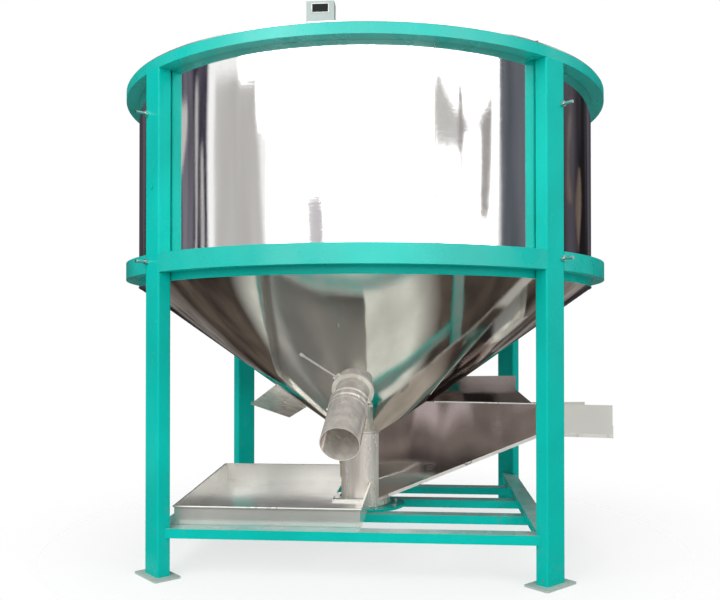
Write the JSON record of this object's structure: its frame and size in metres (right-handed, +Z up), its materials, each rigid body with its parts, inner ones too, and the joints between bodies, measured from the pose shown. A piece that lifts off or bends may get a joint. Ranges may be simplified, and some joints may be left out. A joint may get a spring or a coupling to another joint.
{
  "type": "vertical screw mixer",
  "caption": "Vertical screw mixer: polished round tank with a cone, on painted legs and rings, with a side feed hopper, a tray, a slide-gate spout and a top drive.",
  "frame": {"origin": "on the floor, below the tank's axis", "axes": "+Z up along the tank's axis, -Y towards the discharge spout, +X towards the large feed hopper"},
  "size_m": [2.4, 2.3996, 2.608],
  "materials": {
    "teal_paint": "gloss",
    "plate_paint": "satin",
    "drive_paint": "satin",
    "box_paint": "satin",
    "steel": "mirror polished",
    "cast_iron": "matte",
    "rubber": "matte",
    "window": "gloss"
  },
  "bodies": {
    "frame": {"base_rail_front": "teal_paint", "base_rail_left": "teal_paint", "base_rail_right": "teal_paint", "casing_flange": "teal_paint", "clamp_bolt": "steel", "clamp_ring": "steel", "cone": "steel", "cone_band": "teal_paint", "control_box": "box_paint", "cross_rail_back": "teal_paint", "cross_rail_front": "teal_paint", "cross_rail_middle": "teal_paint", "display_window": "window", "fan_cover": "drive_paint", "feed_chute": "steel", "feed_hopper": "steel", "feed_tray": "steel", "foot_bearing": "cast_iron", "foot_plate_back_left": "plate_paint", "foot_plate_back_right": "plate_paint", "foot_plate_front_left": "plate_paint", "foot_plate_front_right": "plate_paint", "gate_housing": "steel", "gear_unit": "drive_paint", "guide_struts_high": "steel", "guide_struts_low": "steel", "guide_tube": "steel", "hatch_curb": "steel", "hatch_hinge_stands": "steel", "leg_back_left": "teal_paint", "leg_back_right": "teal_paint", "leg_bolts_left": "steel", "leg_bolts_right": "steel", "leg_front_left": "teal_paint", "leg_front_right": "teal_paint", "leg_plug": "drive_paint", "lid": "steel", "lid_gasket": "rubber", "lower_ring_back": "teal_paint", "lower_ring_front": "teal_paint", "lower_ring_left": "teal_paint", "lower_ring_right": "teal_paint", "motor": "drive_paint", "motor_beam_back": "teal_paint", "motor_beam_front": "teal_paint", "motor_plate": "teal_paint", "outlet_stub": "steel", "screw_casing": "steel", "spout": "steel", "tank_shell": "steel", "terminal_box": "drive_paint", "top_ring": "teal_paint"},
    "screw": {"screw_shaft": "steel", "screw_flight": "steel", "spreader": "steel"},
    "hatch": {"hatch_cover": "steel", "hatch_handle": "steel", "hatch_hinge_knuckles": "steel"},
    "gate": {"gate_blade": "steel", "gate_rod": "steel"}
  },
  "joints": [
    {"name": "screw_spin", "type": "hinge", "parent": "frame", "child": "screw", "pos_m": [0, 0, 1], "axis": [0, 0, 1], "continuous": true},
    {"name": "hatch_hinge", "type": "hinge", "parent": "frame", "child": "hatch", "pos_m": [0.52, -0.396, 2.2393], "axis": [-1, 0, 0], "range_deg": [0, 100]},
    {"name": "gate_slide", "type": "slide", "parent": "frame", "child": "gate", "axis": [-0.6834, -0.3384, 0.6469], "range_m": [0, 0.15]}
  ]
}
